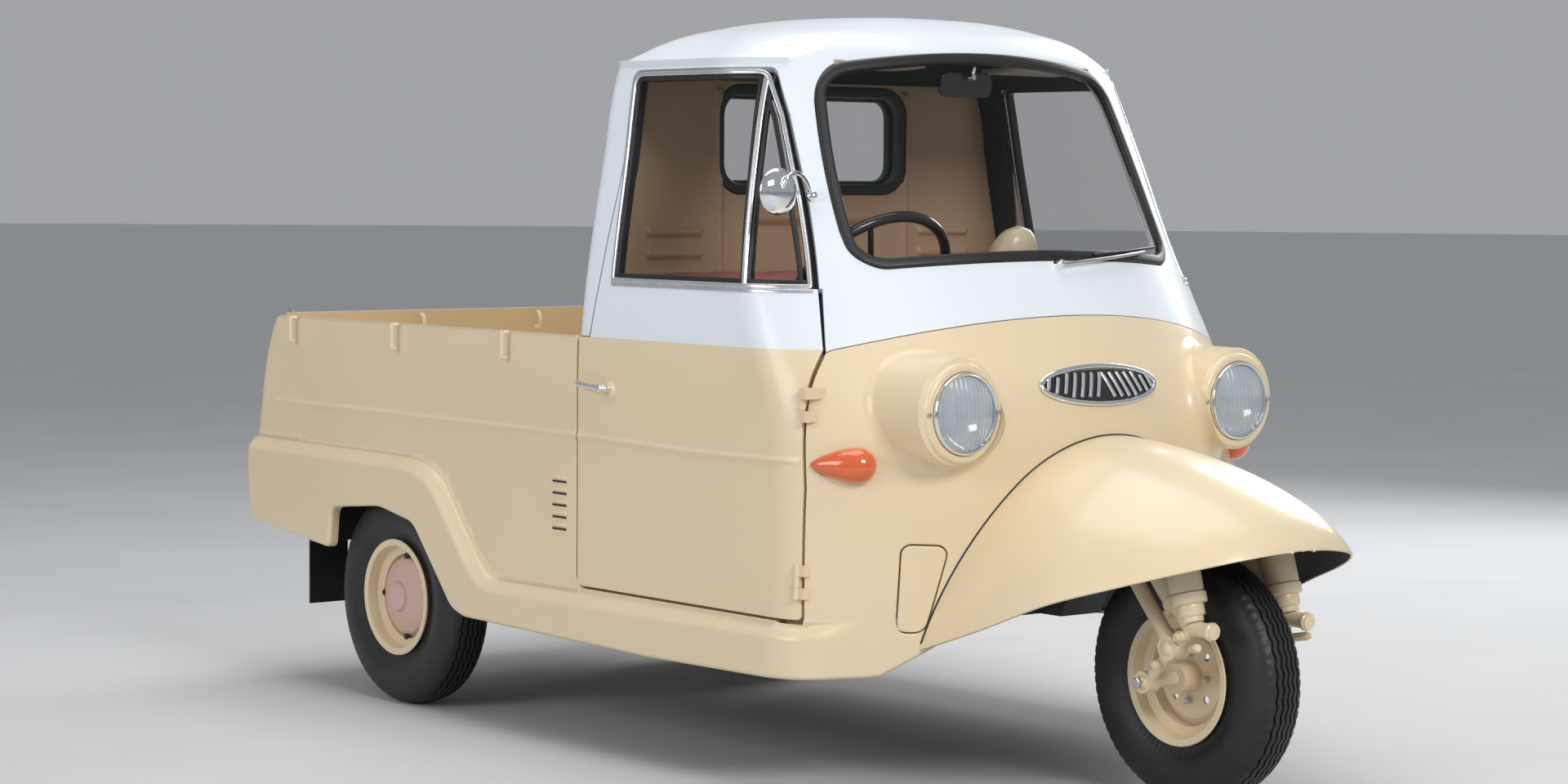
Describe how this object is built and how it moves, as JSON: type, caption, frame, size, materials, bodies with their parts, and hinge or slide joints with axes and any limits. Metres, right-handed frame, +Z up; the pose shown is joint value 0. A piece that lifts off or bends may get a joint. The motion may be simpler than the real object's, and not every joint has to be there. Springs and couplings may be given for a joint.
{
  "type": "three-wheeled pickup",
  "caption": "Light three-wheeled pickup with a rounded two-tone cab, one steered front wheel under a fixed fender, hinged doors and an open bed with a drop tailgate.",
  "frame": {"origin": "centre of the bounding box's base, on the ground", "axes": "+Z up, the vehicle faces -Y, +X is the vehicle's left side"},
  "size_m": [1.2866, 2.822, 1.5339],
  "materials": {
    "cream_paint": "gloss enamel",
    "white_paint": "gloss enamel",
    "chassis": "satin black paint",
    "engine": "cast",
    "exhaust": "heat-dulled",
    "seal_rubber": "matt",
    "glass": "clear",
    "lamp_glass": "fluted",
    "amber_lens": "gloss",
    "red_lens": "gloss",
    "chrome": "polished",
    "black_plastic": "gloss",
    "seat_cover": "vinyl",
    "tyre": "black rubber"
  },
  "bodies": {
    "body": {"frame": "chassis", "engine_block": "engine", "exhaust": "exhaust", "propeller_shaft": "chassis", "rear_axle": "chassis", "leaf_springs": "chassis", "cab_floor": "cream_paint", "bulkhead": "cream_paint", "nose_panel": "cream_paint", "front_fender": "cream_paint", "cab_shell": "white_paint", "roof": "white_paint", "window_seals": "seal_rubber", "window_glass": "glass", "door_hinges": "cream_paint", "side_panel_left": "cream_paint", "side_panel_right": "cream_paint", "bed_floor": "cream_paint", "rope_hooks": "cream_paint", "mud_flaps": "seal_rubber", "tail_lamps": "red_lens", "headlamps": "chrome", "headlamp_lenses": "lamp_glass", "turn_signals": "amber_lens", "grille": "chrome", "mirror": "chrome", "wiper": "chrome", "steering_column": "black_plastic", "dashboard": "cream_paint", "controls": "black_plastic", "seat_cushion": "seat_cover", "seat_back": "seat_cover"},
    "fork": {"fork": "cream_paint", "fork_struts": "cream_paint"},
    "front_wheel": {"front_rim": "cream_paint", "front_tyre": "tyre"},
    "rear_wheel_left": {"rear_rim_left": "cream_paint", "rear_tyre_left": "tyre"},
    "rear_wheel_right": {"rear_rim_right": "cream_paint", "rear_tyre_right": "tyre"},
    "door_left": {"door_lower_left": "cream_paint", "door_upper_left": "white_paint", "window_frame_left": "chrome", "door_glass_left": "glass", "door_handle_left": "chrome"},
    "door_right": {"door_lower_right": "cream_paint", "door_upper_right": "white_paint", "window_frame_right": "chrome", "door_glass_right": "glass", "door_handle_right": "chrome"},
    "tailgate": {"tailgate": "cream_paint"},
    "steering_wheel": {"steering_wheel": "black_plastic"}
  },
  "joints": [
    {"name": "front_steer", "type": "hinge", "parent": "body", "child": "fork", "pos_m": [0, -1.104, 0.244], "axis": [0, 0.3987, 0.9171], "range_deg": [-38, 38]},
    {"name": "front_wheel_spin", "type": "hinge", "parent": "fork", "child": "front_wheel", "pos_m": [0, -1.134, 0.244], "axis": [1, 0, 0], "continuous": true},
    {"name": "rear_spin_left", "type": "hinge", "parent": "body", "child": "rear_wheel_left", "pos_m": [0.533, 0.811, 0.244], "axis": [1, 0, 0], "continuous": true},
    {"name": "rear_spin_right", "type": "hinge", "parent": "body", "child": "rear_wheel_right", "pos_m": [-0.533, 0.811, 0.244], "axis": [1, 0, 0], "continuous": true},
    {"name": "door_left", "type": "hinge", "parent": "body", "child": "door_left", "pos_m": [0.601, -0.652, 0.42], "axis": [0.0321, 0, -0.9995], "range_deg": [0, 62]},
    {"name": "door_right", "type": "hinge", "parent": "body", "child": "door_right", "pos_m": [-0.601, -0.652, 0.42], "axis": [0.0321, 0, 0.9995], "range_deg": [0, 62]},
    {"name": "tailgate_drop", "type": "hinge", "parent": "body", "child": "tailgate", "pos_m": [0, 1.402, 0.569], "axis": [-1, 0, 0], "range_deg": [0, 92]},
    {"name": "hand_wheel_turn", "type": "hinge", "parent": "body", "child": "steering_wheel", "pos_m": [-0.262, -0.452, 0.975], "axis": [0, 0.7915, 0.6112], "range_deg": [-380, 380]}
  ],
  "couplings": [
    {"joint": "hand_wheel_turn", "follows": "front_steer", "ratio": 10}
  ]
}
